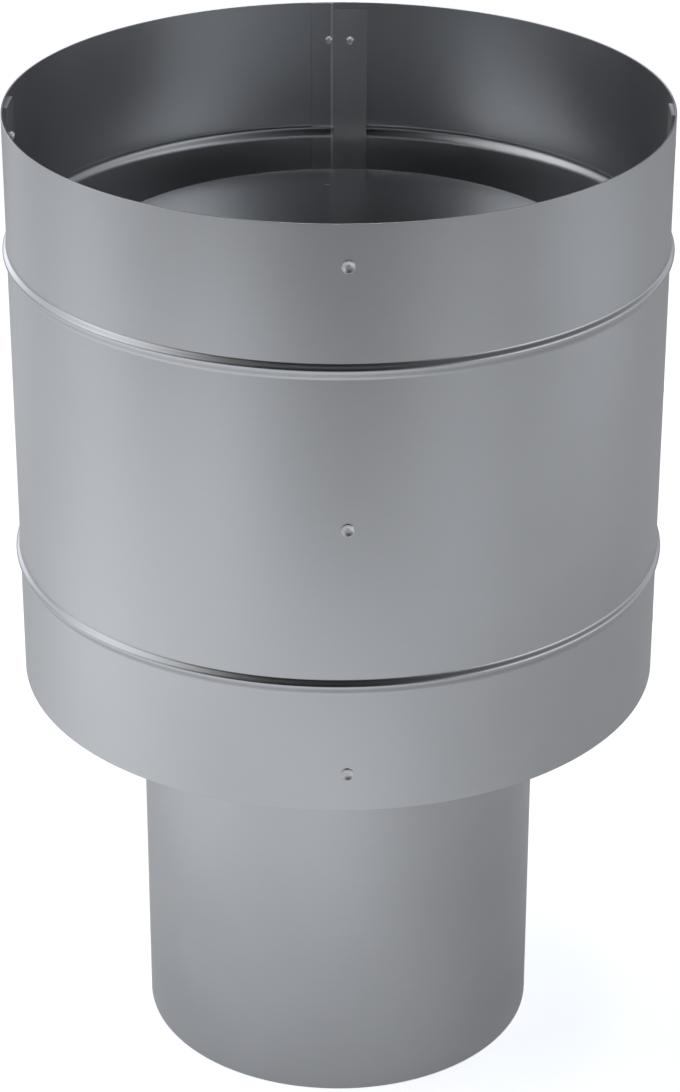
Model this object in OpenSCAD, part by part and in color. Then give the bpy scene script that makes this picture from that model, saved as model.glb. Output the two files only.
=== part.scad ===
// Ventilation cowl: a beaded casing round a spigot pipe, with a flat rain cap inside it.
// Millimetres. Origin at the centre of the pipe's lower end, +Z up, front towards -Y.

/* [Casing] */
// Outside diameter of the casing
casing_d = 315; // [300:1:340]
// Height of the casing
casing_h = 290; // [240:1:400]
// Height of the casing's lower edge over the pipe's lower end
casing_z = 199; // [120:1:300]
// Thickness of the steel sheet of the casing, the pipe and the cap
sheet = 0.8; // [0.6:0.1:0.9]
// Distance of the upper bead's middle from the casing's top
upper_bead_inset = 67.5; // [50:0.1:90]
// Distance of the lower bead's middle from the casing's lower edge
lower_bead_inset = 66.3; // [50:0.1:90]
// How far a bead stands out of the sheet
bead_h = 2; // [1.4:0.1:2.1]
// Width of a bead from foot to foot
bead_w = 5.7; // [5.5:0.1:8]
// Width of sheet that doubles up in a seam
lap_w = 11.3; // [8:0.1:16]

/* [Pipe] */
// Outside diameter of the spigot pipe
pipe_d = 198; // [170:1:212]
// Depth of the pipe's open top below the casing's top
pipe_drop = 127; // [118:1:130]
// Height of the stop bead's lower foot over the casing's lower edge
stop_rise = 6; // [2:0.5:10]

/* [Rain cap] */
// Diameter of the cap
cap_d = 252; // [242:1:262]
// Depth of the cap's edge below the casing's top
cap_drop = 78; // [70:1:84]
// Slope of the cap towards its edge, in degrees
cap_slope = 3; // [1:0.5:5]
// Height of the turned-down lip
lip_h = 9; // [7:0.5:12]
// Radius of the cap's pressed corner, half the width of the rolled hem
cap_bend = 1.6; // [1.2:0.1:2]

/* [Straps and brackets] */
// Width of the flat bar
bar_w = 16.8; // [12:0.1:20]
// Thickness of the flat bar
bar_t = 1.5; // [1:0.1:2]
// Radius of a bend in the bar, at the middle of its thickness
bar_bend = 2.5; // [2:0.1:3]
// Length of a bracket's flange
flange_h = 23; // [16:0.5:26]
// Distance of a strap's end from the nearer edge of the casing
strap_inset = 3; // [1:0.5:8]
// Distance of a stay's rivet from the cap's edge
stay_inset = 25; // [22:0.5:28]

/* [Rivets] */
// Diameter of a rivet's shank
rivet_d = 3.2; // [2.4:0.1:4]
// Diameter of a rivet's domed head
rivet_head_d = 6.2; // [5:0.1:8]
// Height of a rivet's domed head
rivet_head_h = 1.2; // [0.8:0.1:1.6]
// Distance of the first and the last rivet from the casing's edges
rivet_inset = 19.5; // [16:0.5:26]

/* [Hidden] */
$fn = 96;

// Sides, and the direction in degrees in which each column of rivets and each stay stands
sides = ["front", "right", "back", "left"];
strap_turns = [-88.45, 0, 87.85, 176.5];
stay_turns = [-86.8, 3.2, 93.2, 183.2];

// Overrun of every cut past the surface that it opens
cut = 1;
// Largest turn between two points of a bend, in degrees
bend_step = 12;

// Casing
casing_r = casing_d / 2;
casing_top = casing_z + casing_h;
bead_crown_w = 1.7;
bead_bend = 1.9;
casing_beads = [casing_z + lower_bead_inset, casing_top - upper_bead_inset];
casing_inner_r = casing_r - sheet;

// Pipe: its plain spigot ends at the stop bead's foot
pipe_r = pipe_d / 2;
pipe_h = casing_top - pipe_drop;
spigot_len = casing_z + stop_rise;
// Direction of the pipe's seam, clear of the brackets and stays
pipe_seam_turn = 116;
weld_r = 2;
weld_dent = 0.2;
weld_pitch = 40;

// Seams: the outer layer's cut edge shows as a narrow groove, and on the pipe as a fine notch
groove_w = 0.6;
groove_depth = 0.5;
notch_w = 0.5;

// Rain cap, by its outer surface
cap_r = cap_d / 2;
cap_edge_z = casing_top - cap_drop;
crown_flat_r = 24;
crown_bend = 150;
hem_h = 5;

// Straps, with their clearance from the casing
strap_gap = 0.1;
strap_inner_r = casing_inner_r - strap_gap - bar_t;

// Levels of the rivets in a strap, from the bottom up: the middle ones stand at half height, or
// lower where the upper brackets need it to stay clear of the stays' feet
foot_gap = 6;
low_z = casing_z + rivet_inset;
mid_z = min(casing_z + casing_h / 2, pipe_h - flange_h - foot_gap + flange_h / 2);
top_z = casing_top - rivet_inset;

// Brackets, by the middle of the bar
bracket_outer_r = strap_inner_r - bar_t / 2;
bracket_inner_r = pipe_r + bar_t / 2;
lower_web_z = low_z + flange_h / 2;
upper_web_z = mid_z - flange_h / 2;

// Stays, by the middle of the bar
stay_foot_z = pipe_h - flange_h;
stay_rivet_r = cap_r - stay_inset;
stay_lean_r = stay_rivet_r + flange_h / 2;
stay_tip_r = stay_rivet_r - flange_h / 2;
stay_gap = (sheet + bar_t / 2) / cos(cap_slope);

// Rivets
rivet_r = rivet_d / 2;
rivet_gap = 0.05;
head_r = rivet_head_d / 2;
tail_r = 2.2;
tail_h = 2.2;
core_r = 0.9;
core_depth = 0.6;
// Distance of the seam's rivets from the strap's near edge, and of the doubled sheet from it
seam_rivet_inset = 2.5;
lap_gap = 0.2;

// Colours
steel = [0.62, 0.63, 0.65];
dark_steel = [0.52, 0.53, 0.55];
bright_steel = [0.74, 0.75, 0.77];

// Bent sheet and bar: a path of [radius, height, bend radius] corners, and what lies beside it
function heading(a, b) = [b[0] - a[0], b[1] - a[1]] / norm([b[0] - a[0], b[1] - a[1]]);
function left_of(u) = [-u[1], u[0]];
function turn_of(u, v) = atan2(u[0] * v[1] - u[1] * v[0], u * v);
function steps_of(a) = max(2, ceil(abs(a) / bend_step));
function flat(p) = [p[0], p[1]];

// Points round one corner, on the line that runs at distance d to the left of the path
function corner(p, u, v, d) =
    let (
        a = turn_of(u, v),
        side = sign(a) * p[2],
        middle = flat(p) + (left_of(u) + left_of(v)) * side / (1 + u * v),
        start = atan2(left_of(u)[1], left_of(u)[0]),
        steps = steps_of(a)
    )
    [for (k = [0 : steps]) middle + (d - side) * [cos(start + a * k / steps), sin(start + a * k / steps)]];

// The whole line at distance d to the left of the path
function beside(path, d) =
    let (last = len(path) - 1)
    [
        flat(path[0]) + left_of(heading(path[0], path[1])) * d,
        for (i = [1 : last - 1])
            each corner(path[i], heading(path[i - 1], path[i]), heading(path[i], path[i + 1]), d),
        flat(path[last]) + left_of(heading(path[last - 1], path[last])) * d
    ];

function reversed(points) = [for (i = [len(points) - 1 : -1 : 0]) points[i]];

// Section of the metal between two lines beside the path
module section(path, near, far) {
    polygon(concat(beside(path, near), reversed(beside(path, far))));
}

// Angle that a length takes on a circle
function arc_turn(length, r) = length / r * 180 / PI;

// Beaded wall of the casing or the pipe, by its outside
function bead(r, z) = [
    [r, z - bead_w / 2, bead_bend],
    [r + bead_h, z - bead_crown_w / 2, bead_bend],
    [r + bead_h, z + bead_crown_w / 2, bead_bend],
    [r, z + bead_w / 2, bead_bend]
];
function wall(r, low, high, beads) = [[r, low], for (z = beads) each bead(r, z), [r, high]];

// Half of the angle by which a bead's flank leaves the wall sets how far its foot reaches
bead_flank = atan2(bead_h, (bead_w - bead_crown_w) / 2);
bead_foot = bead_w / 2 + bead_bend * tan(bead_flank / 2);

casing_wall = wall(casing_r, casing_z, casing_top, casing_beads);
pipe_wall = wall(pipe_r, 0, pipe_h, [spigot_len + bead_foot]);

// Rolled sheet with a lap seam: the doubled layer lies inside and starts at the given direction
module rolled_sheet(path, r, lap_start) {
    rotate_extrude() section(path, 0, sheet);
    rotate([0, 0, lap_start])
        rotate_extrude(angle = arc_turn(lap_w, r)) section(path, sheet, 2 * sheet);
}

// Cut edge of the outer layer, near the far side of the doubled layer and over the beads
module seam_groove(path, r, lap_start) {
    groove_turn = arc_turn(groove_w, r);
    rotate([0, 0, lap_start + arc_turn(lap_w, r) - 2 * groove_turn])
        rotate_extrude(angle = groove_turn) section(path, -cut, groove_depth);
}

// The same edge as a fine notch, which leaves a plain wall round for the duct that slides over it
module seam_notch(r, lap_start, height) {
    rotate([0, 0, lap_start + arc_turn(lap_w - groove_w, r)])
        translate([r, 0, -cut])
            rotate([0, 0, 45])
                translate([-notch_w / 2, -notch_w / 2, 0])
                    cube([notch_w, notch_w, height + 2 * cut]);
}

// Straight piece of flat bar, bent along a path and laid against round walls
module bent_bar(path, turn, low, high) {
    rotate([0, 0, turn])
        intersection() {
            rotate_extrude() section(path, -bar_t / 2, bar_t / 2);
            translate([0, -bar_w / 2, low]) cube([casing_r, bar_w, high - low]);
        }
}

// Rivet along +Z with its head's seat at zero, through a stack of the given thickness
module rivet(grip) {
    dome_r = (head_r * head_r + rivet_head_h * rivet_head_h) / (2 * rivet_head_h);
    tail_dome_r = (tail_r * tail_r + tail_h * tail_h) / (2 * tail_h);
    difference() {
        rotate_extrude() {
            intersection() {
                translate([0, rivet_head_h - dome_r]) circle(r = dome_r);
                square([head_r, rivet_head_h]);
            }
            translate([0, -grip - tail_h / 2]) square([rivet_r, grip + tail_h / 2 + rivet_head_h / 2]);
            intersection() {
                translate([0, tail_dome_r - grip - tail_h]) circle(r = tail_dome_r);
                translate([0, -grip - tail_h]) square([tail_r, tail_h]);
            }
        }
        translate([0, 0, rivet_head_h - core_depth]) cylinder(r = core_r, h = core_depth + cut);
        translate([0, 0, -grip - tail_h - cut]) cylinder(r = core_r, h = core_depth + cut);
    }
}

module rivet_hole(grip) {
    translate([0, 0, -grip - cut]) cylinder(r = rivet_r + rivet_gap, h = grip + 2 * cut);
}

// A rivet's tail is flat and seats on its rim inside a round wall
function tail_seat(r) = sqrt(r * r - tail_r * tail_r);

// Place something made along +Z on a round wall, pointing outwards
module on_wall(turn, r, z) {
    rotate([0, 0, turn]) translate([r, 0, z]) rotate([0, 90, 0]) children();
}

// Outer surface of the cap at a radius on its slope
function cap_z(r) = cap_edge_z + (cap_r - r) * tan(cap_slope);

module on_cap(turn) {
    rotate([0, 0, turn])
        translate([stay_rivet_r, 0, cap_z(stay_rivet_r)])
            rotate([0, cap_slope, 0]) children();
}

// Directions on the casing: its doubled sheet starts beside the back strap
seam_edge_turn = strap_turns[2] + arc_turn(bar_w / 2, casing_inner_r);
casing_lap_start = seam_edge_turn + arc_turn(lap_gap, casing_inner_r);
seam_rivet_turn = seam_edge_turn + arc_turn(seam_rivet_inset, casing_inner_r);

// Each strap's rivets go through the casing and the strap, and the two lower ones through a bracket
strap_rivet_places = [
    [low_z, strap_inner_r - bar_t],
    [mid_z, strap_inner_r - bar_t],
    [top_z, strap_inner_r]
];
strap_rivet_grip = casing_r - tail_seat(strap_inner_r - bar_t);

module strap_holes(turn) {
    for (place = strap_rivet_places) on_wall(turn, casing_r, place[0]) rivet_hole(strap_rivet_grip);
}

module seam_holes() {
    for (z = [low_z, mid_z, top_z])
        on_wall(seam_rivet_turn, casing_r, z) rivet_hole(casing_r - tail_seat(casing_r - 2 * sheet));
}

// Rivets that hold the brackets and the stays to the pipe
lower_rivet_z = lower_web_z + flange_h / 2;
upper_rivet_z = upper_web_z - flange_h / 2;
stay_rivet_z = stay_foot_z + flange_h / 2;
pipe_rivet_grip = pipe_r + bar_t - tail_seat(pipe_r - sheet);

module pipe_rivet_place(turn, z) {
    on_wall(turn, pipe_r + bar_t, z) children();
}

module casing() {
    color(steel)
        difference() {
            rolled_sheet(casing_wall, casing_r, casing_lap_start);
            seam_groove(casing_wall, casing_r, casing_lap_start);
            for (turn = strap_turns) strap_holes(turn);
            seam_holes();
        }
}

module pipe() {
    weld_turn = pipe_seam_turn + arc_turn(lap_w / 2, pipe_r);
    color(steel)
        difference() {
            rolled_sheet(pipe_wall, pipe_r, pipe_seam_turn);
            seam_notch(pipe_r, pipe_seam_turn, pipe_h);
            for (turn = strap_turns) {
                pipe_rivet_place(turn, lower_rivet_z) rivet_hole(pipe_rivet_grip);
                pipe_rivet_place(turn, upper_rivet_z) rivet_hole(pipe_rivet_grip);
            }
            for (turn = stay_turns) pipe_rivet_place(turn, stay_rivet_z) rivet_hole(pipe_rivet_grip);
            for (z = [weld_pitch / 2 : weld_pitch : pipe_h - weld_pitch / 2])
                if (abs(z - spigot_len - bead_foot) > bead_foot + weld_r)
                    on_wall(weld_turn, pipe_r - 2 * sheet - cut, z)
                        cylinder(r = weld_r, h = weld_dent + cut);
        }
}

// Pressed disc with a turned-down lip and a rolled hem
cap_path = [
    [0, cap_z(crown_flat_r)],
    [crown_flat_r, cap_z(crown_flat_r), crown_bend],
    [cap_r, cap_edge_z, cap_bend],
    [cap_r, cap_edge_z - lip_h, cap_bend],
    [cap_r - 2 * cap_bend, cap_edge_z - lip_h, cap_bend],
    [cap_r - 2 * cap_bend, cap_edge_z - lip_h + hem_h]
];

module rain_cap() {
    color(dark_steel)
        difference() {
            rotate_extrude() section(cap_path, -sheet, 0);
            for (turn = stay_turns) on_cap(turn) rivet_hole(sheet);
        }
}

// Flat strip up the inside of the casing, straight over the beads
module strap(turn) {
    middle_r = strap_inner_r + bar_t / 2;
    path = [[middle_r, casing_z + strap_inset], [middle_r, casing_top - strap_inset]];
    color(bright_steel)
        difference() {
            bent_bar(path, turn, casing_z, casing_top);
            strap_holes(turn);
        }
}

// Z-shaped brackets across the ring between the strap and the pipe
module upper_bracket(turn) {
    path = [
        [bracket_outer_r, upper_web_z + flange_h],
        [bracket_outer_r, upper_web_z, bar_bend],
        [bracket_inner_r, upper_web_z, bar_bend],
        [bracket_inner_r, upper_web_z - flange_h]
    ];
    color(bright_steel)
        difference() {
            bent_bar(path, turn, casing_z, casing_top);
            strap_holes(turn);
            pipe_rivet_place(turn, upper_rivet_z) rivet_hole(pipe_rivet_grip);
        }
}

module lower_bracket(turn) {
    path = [
        [bracket_outer_r, lower_web_z - flange_h],
        [bracket_outer_r, lower_web_z, bar_bend],
        [bracket_inner_r, lower_web_z, bar_bend],
        [bracket_inner_r, lower_web_z + flange_h]
    ];
    color(bright_steel)
        difference() {
            bent_bar(path, turn, casing_z, casing_top);
            strap_holes(turn);
            pipe_rivet_place(turn, lower_rivet_z) rivet_hole(pipe_rivet_grip);
        }
}

// Stay from the pipe's top, leaning out and folded back under the cap
module cap_stay(turn) {
    path = [
        [bracket_inner_r, stay_foot_z],
        [bracket_inner_r, pipe_h, bar_bend],
        [stay_lean_r, cap_z(stay_lean_r) - stay_gap, bar_bend],
        [stay_tip_r, cap_z(stay_tip_r) - stay_gap]
    ];
    color(bright_steel)
        difference() {
            bent_bar(path, turn, casing_z, casing_top);
            pipe_rivet_place(turn, stay_rivet_z) rivet_hole(pipe_rivet_grip);
            on_cap(turn) rivet_hole(sheet + bar_t);
        }
}

module strap_rivets(turn) {
    color(bright_steel)
        for (place = strap_rivet_places)
            on_wall(turn, casing_r, place[0]) rivet(casing_r - tail_seat(place[1]));
}

module casing_seam_rivets() {
    color(bright_steel)
        for (z = [low_z, mid_z, top_z])
            on_wall(seam_rivet_turn, casing_r, z) rivet(casing_r - tail_seat(casing_r - 2 * sheet));
}

module upper_bracket_rivets() {
    color(bright_steel)
        for (turn = strap_turns) pipe_rivet_place(turn, upper_rivet_z) rivet(pipe_rivet_grip);
}

module lower_bracket_rivets() {
    color(bright_steel)
        for (turn = strap_turns) pipe_rivet_place(turn, lower_rivet_z) rivet(pipe_rivet_grip);
}

module stay_foot_rivets() {
    color(bright_steel)
        for (turn = stay_turns) pipe_rivet_place(turn, stay_rivet_z) rivet(pipe_rivet_grip);
}

module cap_rivets() {
    color(bright_steel)
        for (turn = stay_turns) on_cap(turn) rivet(sheet + bar_t);
}

casing();
pipe();
rain_cap();
for (i = [0 : 3]) {
    strap(strap_turns[i]);
    upper_bracket(strap_turns[i]);
    lower_bracket(strap_turns[i]);
    cap_stay(stay_turns[i]);
    strap_rivets(strap_turns[i]);
}
casing_seam_rivets();
upper_bracket_rivets();
lower_bracket_rivets();
stay_foot_rivets();
cap_rivets();
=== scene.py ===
import math
import bmesh
import bpy
from mathutils import Euler, Matrix, Vector


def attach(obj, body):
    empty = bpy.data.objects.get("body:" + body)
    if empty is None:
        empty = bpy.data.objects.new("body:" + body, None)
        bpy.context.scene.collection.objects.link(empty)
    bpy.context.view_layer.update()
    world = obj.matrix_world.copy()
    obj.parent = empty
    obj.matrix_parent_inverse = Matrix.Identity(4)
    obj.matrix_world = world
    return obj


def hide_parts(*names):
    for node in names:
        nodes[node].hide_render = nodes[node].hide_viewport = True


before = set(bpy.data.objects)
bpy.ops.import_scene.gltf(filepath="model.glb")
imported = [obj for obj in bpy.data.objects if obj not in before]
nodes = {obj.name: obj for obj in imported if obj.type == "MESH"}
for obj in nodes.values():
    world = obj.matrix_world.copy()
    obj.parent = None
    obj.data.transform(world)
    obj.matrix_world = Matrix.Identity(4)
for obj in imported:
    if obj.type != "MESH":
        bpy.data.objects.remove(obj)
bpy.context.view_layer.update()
print("cowl: the packed frame is in, solids:", len(nodes))

scene = bpy.context.scene
scene.view_settings.view_transform = "Standard"


# camera, fitted to the rim, the beads and the pipe's end
photo = {
    "size": (680, 1092),
    "sensor": 36.0,
    "focal": 3310.6,  # pixels
    "middle": (338.3, 546.0),  # where the optical axis meets the picture
    "eye": (0.0, -1.4762, 0.9946),
    "pitch": 26.53,  # degrees below the horizon
    "roll": 0.05,
    "clip": (0.05, 50.0),
}


def placeCamera(values):
    longSide = max(values["size"])
    data = bpy.data.cameras.new("photoCamera")
    data.sensor_fit = "AUTO"
    data.sensor_width = values["sensor"]
    data.lens = values["focal"] / longSide * values["sensor"]
    data.shift_x = (values["size"][0] / 2 - values["middle"][0]) / longSide
    data.shift_y = (values["middle"][1] - values["size"][1] / 2) / longSide
    data.clip_start, data.clip_end = values["clip"]
    camera = bpy.data.objects.new("photoCamera", data)
    camera.location = values["eye"]
    turn = Euler((math.radians(90 - values["pitch"]), 0, 0)).to_matrix()
    roll = Euler((0, 0, math.radians(values["roll"]))).to_matrix()
    camera.rotation_euler = (turn @ roll).to_euler()
    scene.collection.objects.link(camera)
    scene.camera = camera


placeCamera(photo)
print("cowl: camera set")


class Wire:  # a socket that can be added, multiplied and passed on to a new node
    def __init__(self, tree, socket=None):
        self.tree = tree
        self.socket = socket

    def via(self, kind, settings, inputs, out=0):
        made = self.tree.nodes.new(kind)
        for name, value in settings.items():
            setattr(made, name, value)
        for name, value in inputs.items():
            if isinstance(value, Wire):
                self.tree.links.new(value.socket, made.inputs[name])
            else:
                made.inputs[name].default_value = value
        return Wire(self.tree, made.outputs[out] if made.outputs else None)

    def sum(self, operation, a, b):
        return self.via("ShaderNodeMath", {"operation": operation}, {0: a, 1: b})

    def __add__(self, other):
        return self.sum("ADD", self, other)

    def __radd__(self, other):
        return self.sum("ADD", other, self)

    def __sub__(self, other):
        return self.sum("SUBTRACT", self, other)

    def __rsub__(self, other):
        return self.sum("SUBTRACT", other, self)

    def __mul__(self, other):
        return self.sum("MULTIPLY", self, other)

    def __rmul__(self, other):
        return self.sum("MULTIPLY", other, self)

    def __pow__(self, other):
        return self.sum("POWER", self, other)

    def clamped(self, low, high):
        return self.via("ShaderNodeClamp", {}, {"Value": self, "Min": low, "Max": high})

    def times(self, colour):  # a colour as bright as this says
        return self.via("ShaderNodeVectorMath", {"operation": "SCALE"}, {0: colour, "Scale": self})

    def tint(self, first, second):  # from the first colour to the second as this goes from 0 to 1
        return self.via("ShaderNodeMix", {"data_type": "RGBA"},
                        {"Factor": self, "A": first, "B": second}, 2)


def freshTree(owner):
    owner.use_nodes = True
    owner.node_tree.nodes.clear()
    return Wire(owner.node_tree)


# zinc-coated sheet: a soft, faintly cloudy sheen with fine rolling grain
sheetFinish = {
    "light": (0.625, 0.638, 0.658, 1.0),
    "dark": (0.545, 0.556, 0.574, 1.0),
    "roughness": 0.33,
    "roughnessSpread": 0.08,
    "cloud": 14.0,  # patches per metre
    "cloudDetail": 4.0,
    "cloudFineness": 0.55,
    "cloudContrast": 1.6,
    "grain": 900.0,
    "grainStretch": 12.0,
    "grainDetail": 3.0,
    "grainShare": 0.3,  # of the colour, and the cloud gives the rest
    "bump": 0.02,
    "bumpDepth": 0.0004,
}
capFinish = {**sheetFinish, "roughness": 0.2, "roughnessSpread": 0.05}
barFinish = {**sheetFinish, "light": (0.72, 0.73, 0.745, 1.0), "dark": (0.63, 0.64, 0.655, 1.0),
             "roughness": 0.36, "cloud": 30.0}
rivetFinish = {**sheetFinish, "light": (0.86, 0.87, 0.88, 1.0), "dark": (0.78, 0.79, 0.80, 1.0),
               "roughness": 0.50, "cloud": 90.0, "bump": 0.01}


def zincMaterial(name, values):
    material = bpy.data.materials.new(name)
    start = freshTree(material)
    place = start.via("ShaderNodeTexCoord", {}, {}, "Object")
    cloud = start.via("ShaderNodeTexNoise", {},
                      {"Vector": place, "Scale": values["cloud"], "Detail": values["cloudDetail"],
                       "Roughness": values["cloudFineness"]})
    rolled = start.via("ShaderNodeMapping", {},
                       {"Vector": place, "Scale": (1.0, 1.0, values["grainStretch"])})
    grain = start.via("ShaderNodeTexNoise", {},
                      {"Vector": rolled, "Scale": values["grain"] / values["grainStretch"],
                       "Detail": values["grainDetail"]})
    patch = (cloud - 0.5) * values["cloudContrast"] + 0.5
    share = values["grainShare"]
    colour = (patch * (1 - share) + grain * share).clamped(0.0, 1.0).tint(values["dark"], values["light"])
    roughness = (values["roughness"] + (cloud - 0.5) * values["roughnessSpread"]
                 + (grain - 0.5) * (values["roughnessSpread"] / 2)).clamped(0.1, 0.9)
    bump = start.via("ShaderNodeBump", {},
                     {"Height": grain, "Strength": values["bump"], "Distance": values["bumpDepth"]})
    shader = start.via("ShaderNodeBsdfPrincipled", {},
                       {"Base Color": colour, "Roughness": roughness, "Metallic": 1.0, "Normal": bump})
    start.via("ShaderNodeOutputMaterial", {}, {"Surface": shader})
    return material


def dress(names, material):
    for name in names:
        mesh = nodes[name].data
        if not mesh.materials:
            mesh.materials.append(material)
        for slot in nodes[name].material_slots:
            slot.material = material


sheetNames = ["casing", "pipe", "rain_cap"]
rivetNames = [name for name in nodes if "rivets" in name]
barNames = [name for name in nodes if name not in sheetNames + rivetNames]
sheetMetal = zincMaterial("zincSheet", sheetFinish)
capMetal = zincMaterial("zincCap", capFinish)
barMetal = zincMaterial("zincBar", barFinish)
rivetMetal = zincMaterial("rivetMetal", rivetFinish)
dress(["casing", "pipe"], sheetMetal)
dress(["rain_cap"], capMetal)
print("cowl: materials on")


# how every new piece is finished
joining = {
    "same": 0.000002,  # metres between corners that are one
    "sharp": 50.0,  # degrees over which an edge stays sharp
}


def handIn(name, shape, node, material):  # a finished bmesh becomes a node's piece
    mesh = bpy.data.meshes.new(name)
    shape.to_mesh(mesh)
    shape.free()
    mesh.polygons.foreach_set("use_smooth", [True] * len(mesh.polygons))
    mesh.set_sharp_from_angle(angle=math.radians(joining["sharp"]))
    mesh.materials.append(material)
    piece = bpy.data.objects.new(name, mesh)
    scene.collection.objects.link(piece)
    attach(piece, "root")
    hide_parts(node)
    return piece


def pieceName(node):
    first, *others = node.split("_")
    return first + "".join(word.capitalize() for word in others)


def mergedCopy(node):  # the CAD mesh is loose triangles, so its corners are joined first
    shape = bmesh.new()
    shape.from_mesh(nodes[node].data)
    bmesh.ops.remove_doubles(shape, verts=shape.verts, dist=joining["same"])
    return shape


# casing: one sheet rolled round, with two soft beads, doubled inside where its ends lap
casingShape = {  # millimetres and degrees
    "radius": 157.5,
    "low": 199.0,
    "high": 489.0,
    "sheet": 0.8,
    "rim": 0.2,  # rounding of the cut edges
    "beads": (265.3, 421.5),  # heights of their crowns
    "beadRise": 2.0,
    "beadTop": 3.0,  # from a bead's crown to its upper foot
    "beadFoot": 5.0,  # and to its lower foot
    "beadSteps": 16,
    "beadRoom": 0.8,  # how near to a bead's crown the inner layers' points may come
    "steps": 256,
    "gap": 0.6,  # between the outer layer's cut edges
    "lapFrom": 90.993,  # where the inner layer starts, in degrees from the right
    "lapWidth": 11.3,
    "lapSteps": 6,
    "hemFrom": 91.04,
    "hemWidth": 1.3,  # fold along the inner layer's edge
    "hemSteps": 2,
}


def casingLine(values, inset):  # radius and height up the outer side, moved inwards by the inset
    line = [(values["radius"] - inset, values["low"])]
    for crown in values["beads"]:
        for step in range(values["beadSteps"] + 1):
            along = 2 * step / values["beadSteps"] - 1
            half = values["beadFoot"] if along < 0 else values["beadTop"]
            rise = values["beadRise"] * (1 + math.cos(math.pi * along)) / 2
            slope = -values["beadRise"] * math.pi / 2 / half * math.sin(math.pi * along)
            scale = inset / math.hypot(1, slope)
            room = values["beadRoom"] * abs(along) * half  # keeps the tight crown from folding
            shift = max(-room, min(room, scale * slope))
            line.append((values["radius"] + rise - scale, crown + along * half + shift))
    return line + [(values["radius"] - inset, values["high"])]


def sheetSection(values, outside, inside):  # the two sides of a layer, low to high, with round rims
    rim = values["rim"]
    (outR, low), *outer, (outR, high) = casingLine(values, outside)
    (inR, low), *inner, (inR, high) = casingLine(values, inside)
    soft = rim * (1 - math.sqrt(0.5))
    sides = []
    for line, edge, way in ((outer, outR, -1), (inner, inR, 1)):
        foot = [(edge + way * rim, low), (edge + way * soft, low + soft), (edge, low + rim)]
        top = [(edge, high - rim), (edge + way * soft, high - soft), (edge + way * rim, high)]
        sides.append(foot + line + top)
    return sides


def rollSheet(shape, sides, start, angle, steps):
    turn = Matrix.Rotation(math.radians(start), 4, "Z")
    outer, inner = ([shape.verts.new(turn @ Vector((r / 1000, 0.0, h / 1000))) for r, h in side]
                    for side in sides)
    cut = [shape.faces.new(four) for four in zip(outer, outer[1:], inner[1:], inner)]
    edges = {edge for face in cut for edge in face.edges}
    bmesh.ops.spin(shape, geom=[*cut, *edges, *outer, *inner], cent=(0, 0, 0), axis=(0, 0, 1),
                   angle=math.radians(angle), steps=steps)


def rollCasing(values):
    degree = math.radians(values["radius"])  # millimetres round the casing in one degree
    gap = values["gap"] / degree
    lap = values["lapWidth"] / degree
    hem = values["hemWidth"] / degree
    shape = bmesh.new()
    outer, inner, fold = (sheetSection(values, layer * values["sheet"], (layer + 1) * values["sheet"])
                          for layer in range(3))
    rollSheet(shape, outer, values["lapFrom"] + lap - gap, 360 - gap, values["steps"])
    rollSheet(shape, inner, values["lapFrom"], lap, values["lapSteps"])
    # the fold's faces take the paler rivet metal, a painted highlight along the inner layer's edge
    plain = set(shape.faces)
    rollSheet(shape, fold, values["hemFrom"], hem, values["hemSteps"])
    for face in set(shape.faces) - plain:
        face.material_index = 1  # the paler rivet metal: a painted highlight along the fold
    bmesh.ops.recalc_face_normals(shape, faces=shape.faces)
    piece = handIn("casingSheet", shape, "casing", sheetMetal)
    # a second slot with the paler rivet metal, for the fold's painted highlight
    piece.data.materials.append(rivetMetal)
    piece.modifiers.new("faceNormals", "WEIGHTED_NORMAL").keep_sharp = True


rollCasing(casingShape)
print("cowl: casing rolled")


# flat bar: straps, brackets and stays with the rounded edges of rolled bar
barEdge = {
    "flat": 0.05,  # degrees under which two triangles are one face
    "corner": 40.0,  # degrees over which an edge is a corner
    "round": 0.00068,  # metres
    "steps": 4,
}


def roundBar(node, values):
    shape = mergedCopy(node)
    bmesh.ops.dissolve_limit(shape, angle_limit=math.radians(values["flat"]),
                             verts=shape.verts, edges=shape.edges)
    corner = math.radians(values["corner"])
    corners = [edge for edge in shape.edges if edge.calc_face_angle(0.0) > corner]
    bmesh.ops.bevel(shape, geom=corners, offset=values["round"], offset_type="OFFSET",
                    segments=values["steps"], profile=0.5, affect="EDGES", material=-1,
                    clamp_overlap=True)
    piece = handIn(pieceName(node), shape, node, barMetal)
    piece.modifiers.new("faceNormals", "WEIGHTED_NORMAL").keep_sharp = True


for name in barNames:
    roundBar(name, barEdge)
print("cowl: bars rounded:", len(barNames))


# blind rivets: a low head with a dished face, and a bulb where the stem broke off inside
rivetShape = {  # outlines as radius and height in millimetres, the head's from the sheet
    "headHeight": 0.0012,  # metres, of the plain rivet's head
    "head": ((1.6, -0.3), (3.0, 0.0), (3.12, 0.3), (3.08, 0.62), (2.92, 0.82), (2.7, 0.84),
             (2.35, 0.6), (1.8, 0.28), (1.1, 0.06), (0.5, -0.03), (0.0, -0.05)),
    "flatHead": ((1.6, -0.3), (3.05, 0.0), (3.0, 0.1), (2.6, 0.2), (1.8, 0.26), (0.0, 0.28)),
    "tail": ((0.0, 0.05), (0.7, 0.08), (1.45, 0.45), (2.0, 1.05), (2.18, 1.7), (1.95, 2.15), (1.6, 2.4)),
    "steps": 24,
    "smooth": 1,  # rounds of subdivision
    "same": 0.00001,  # metres between corners that are one
    "capSlope": 3.0,  # degrees
}


def islands(shape):  # the corners of one separate rivet after another
    seen = set()
    for start in shape.verts:
        if start in seen:
            continue
        seen.add(start)
        found = [start]
        for corner in found:
            for edge in corner.link_edges:
                other = edge.other_vert(corner)
                if other not in seen:
                    seen.add(other)
                    found.append(other)
        yield [corner.co.copy() for corner in found]


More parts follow.
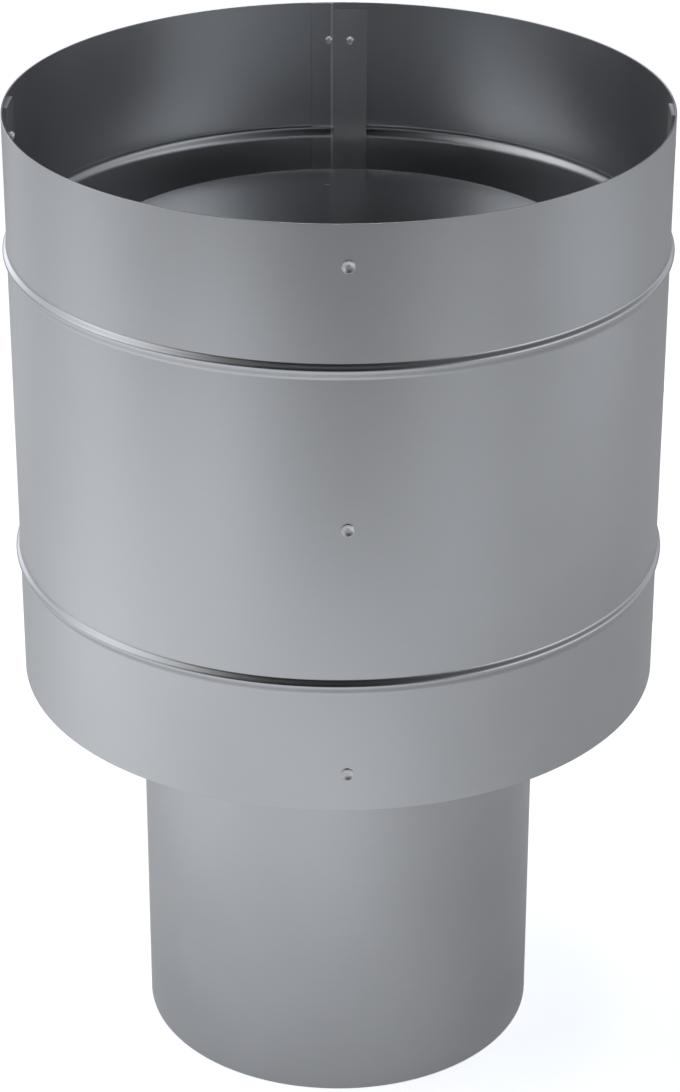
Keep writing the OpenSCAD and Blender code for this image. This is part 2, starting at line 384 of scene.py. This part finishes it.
def rivetAxis(node, middle, values):
    outwards = Vector((middle.x, middle.y, 0.0)).normalized()
    if node != "cap_rivets":
        return outwards
    lean = math.radians(values["capSlope"])
    return outwards * math.sin(lean) + Vector((0.0, 0.0, math.cos(lean)))


def turnRivet(head, grip, values):  # spun about Z, with its tail's end at zero
    profile = list(values["tail"]) + [(r, h + grip) for r, h in head]
    shape = bmesh.new()
    line = [shape.verts.new((r / 1000, 0.0, h / 1000)) for r, h in profile]
    edges = [shape.edges.new(pair) for pair in zip(line, line[1:])]
    bmesh.ops.spin(shape, geom=line + edges, cent=(0, 0, 0), axis=(0, 0, 1),
                   angle=math.tau, steps=values["steps"], use_merge=True)
    bmesh.ops.remove_doubles(shape, verts=shape.verts, dist=values["same"])
    bmesh.ops.recalc_face_normals(shape, faces=shape.faces)
    return shape


def setRivets(node, values):
    source = mergedCopy(node)
    shape = bmesh.new()
    for corners in islands(source):
        middle = sum(corners, Vector()) / len(corners)
        axis = rivetAxis(node, middle, values)
        reach = [corner.dot(axis) for corner in corners]
        foot = middle + axis * (min(reach) - middle.dot(axis))
        grip = (max(reach) - min(reach) - values["headHeight"]) * 1000
        single = turnRivet(values["flatHead" if node == "cap_rivets" else "head"], grip, values)
        place = Matrix.Translation(foot) @ axis.to_track_quat("Z", "Y").to_matrix().to_4x4()
        single.transform(place)
        mesh = bpy.data.meshes.new("rivet")
        single.to_mesh(mesh)
        single.free()
        shape.from_mesh(mesh)
        bpy.data.meshes.remove(mesh)
    source.free()
    metal = capMetal if node == "cap_rivets" else rivetMetal
    piece = handIn(pieceName(node), shape, node, metal)
    smoother = piece.modifiers.new("smoother", "SUBSURF")
    smoother.levels = values["smooth"]
    smoother.render_levels = values["smooth"]


for name in rivetNames:
    setRivets(name, rivetShape)
print("cowl: rivets set:", len(rivetNames))


# studio: a white floor and backdrop, with the dark of the room above and behind the camera
studio = {
    "floorSize": 16.0,
    "floorGrey": 0.8,
    "floorRoughness": 0.9,
    "floorLift": 0.80,  # light that only the camera sees, so that the floor reads white
    "tint": (0.995, 1.018, 1.057),  # what the metal mirrors is a little blue
}
backdrop = {  # pale parts: degrees round from the right, degrees up, how narrow and how bright
    "right": {"angle": 0, "height": 6, "tight": 16.0, "bright": 1.00},
    "rightBack": {"angle": 30, "height": 6, "tight": 16.0, "bright": 0.50},
    "backRight": {"angle": 60, "height": 6, "tight": 16.0, "bright": 0.71},
    "backLeft": {"angle": 120, "height": 6, "tight": 16.0, "bright": 2.04},
    "left": {"angle": 180, "height": 6, "tight": 16.0, "bright": 0.92},
    "leftHigh": {"angle": 160, "height": 35, "tight": 10.0, "bright": 0.74},
    "rightFront": {"angle": 330, "height": 6, "tight": 16.0, "bright": 1.60},
    "rightFrontHigh": {"angle": 340, "height": 35, "tight": 10.0, "bright": 0.14},
}
floorGlow = {  # where the metal sees the floor lit, how wide each patch is and how bright
    "near": {"place": (0.0, 0.0), "wide": 0.35, "bright": 0.11},
    "front": {"place": (0.0, -0.55), "wide": 0.3, "bright": 0.38},
    "left": {"place": (-0.6, -0.1), "wide": 0.4, "bright": 0.50},
    "leftFar": {"place": (-1.4, 0.0), "wide": 0.6, "bright": 0.45},
    "leftFront": {"place": (-0.6, -0.8), "wide": 0.4, "bright": 0.55},
    "right": {"place": (0.6, -0.1), "wide": 0.4, "bright": 0.04},
    "rightFar": {"place": (1.4, 0.0), "wide": 0.6, "bright": 0.38},
    "rightFront": {"place": (0.6, -0.8), "wide": 0.4, "bright": 0.35},
    "backLeft": {"place": (-0.6, 0.7), "wide": 0.4, "bright": 0.29},
    "backLeftFar": {"place": (-1.3, 1.2), "wide": 0.6, "bright": 0.44},
    "backRight": {"place": (0.6, 0.7), "wide": 0.4, "bright": 0.08},
    "backRightFar": {"place": (1.3, 1.2), "wide": 0.6, "bright": 0.17},
}
lamps = {
    "keyLight": {"place": (-1.9, -0.5, 1.5), "aim": (0, 0, 0.25), "size": (1.6, 1.8), "power": 6.6},
    "topLight": {"place": (0.0, 0.1, 2.0), "aim": (0, 0, 0.4), "size": (0.8, 0.8), "power": 7.4},
}


def layFloor(values, patches):
    bpy.ops.mesh.primitive_plane_add(size=values["floorSize"], location=(0, 0, 0))
    floor = bpy.context.object
    floor.name = "floor"
    material = bpy.data.materials.new("paleFloor")
    start = freshTree(material)
    place = start.via("ShaderNodeTexCoord", {}, {}, "Object")
    glow = 0.0
    for patch in patches.values():
        away = start.via("ShaderNodeVectorMath", {"operation": "DISTANCE"},
                         {0: place, 1: (*patch["place"], 0.0)}, "Value") * (1 / patch["wide"])
        fade = start.via("ShaderNodeMath", {"operation": "EXPONENT"}, {0: away * away * -1.0})
        glow = fade * patch["bright"] + glow
    seen = start.via("ShaderNodeLightPath", {}, {}, "Is Camera Ray")
    mirrored = start.via("ShaderNodeLightPath", {}, {}, "Is Glossy Ray")
    grey = values["floorGrey"]
    lit = mirrored * glow + seen * values["floorLift"]
    shader = start.via("ShaderNodeBsdfPrincipled", {},
                       {"Base Color": (grey, grey, grey, 1), "Roughness": values["floorRoughness"],
                        "Specular IOR Level": 0.0,
                        "Emission Color": lit.times(values["tint"]), "Emission Strength": 1.0})
    start.via("ShaderNodeOutputMaterial", {}, {"Surface": shader})
    floor.data.materials.append(material)


def hangLamp(name, values):
    data = bpy.data.lights.new(name, "AREA")
    data.shape = "RECTANGLE"
    data.size, data.size_y = values["size"]
    data.energy = values["power"]
    lamp = bpy.data.objects.new(name, data)
    lamp.location = values["place"]
    aim = Vector(values["aim"]) - lamp.location
    lamp.rotation_euler = aim.to_track_quat("-Z", "Y").to_euler()
    scene.collection.objects.link(lamp)


def lightWorld(values, parts):
    world = bpy.data.worlds.new("studio")
    scene.world = world
    start = freshTree(world)
    seen = start.via("ShaderNodeLightPath", {}, {}, "Is Camera Ray")
    towards = start.via("ShaderNodeTexCoord", {}, {}, "Generated")
    level = 0.0
    for part in parts.values():
        middle = Euler((0, -math.radians(part["height"]), math.radians(part["angle"])))
        facing = start.via("ShaderNodeVectorMath", {"operation": "DOT_PRODUCT"},
                           {0: towards, 1: middle.to_matrix() @ Vector((1, 0, 0))}, "Value")
        level = facing.clamped(0.0, 1.0) ** part["tight"] * part["bright"] + level
    colour = seen.tint(level.times(values["tint"]), (1, 1, 1, 1))
    light = start.via("ShaderNodeBackground", {}, {"Color": colour, "Strength": 1.0})
    start.via("ShaderNodeOutputWorld", {}, {"Surface": light})


layFloor(studio, floorGlow)
for name, values in lamps.items():
    hangLamp(name, values)
lightWorld(studio, backdrop)
print("cowl: studio lit")
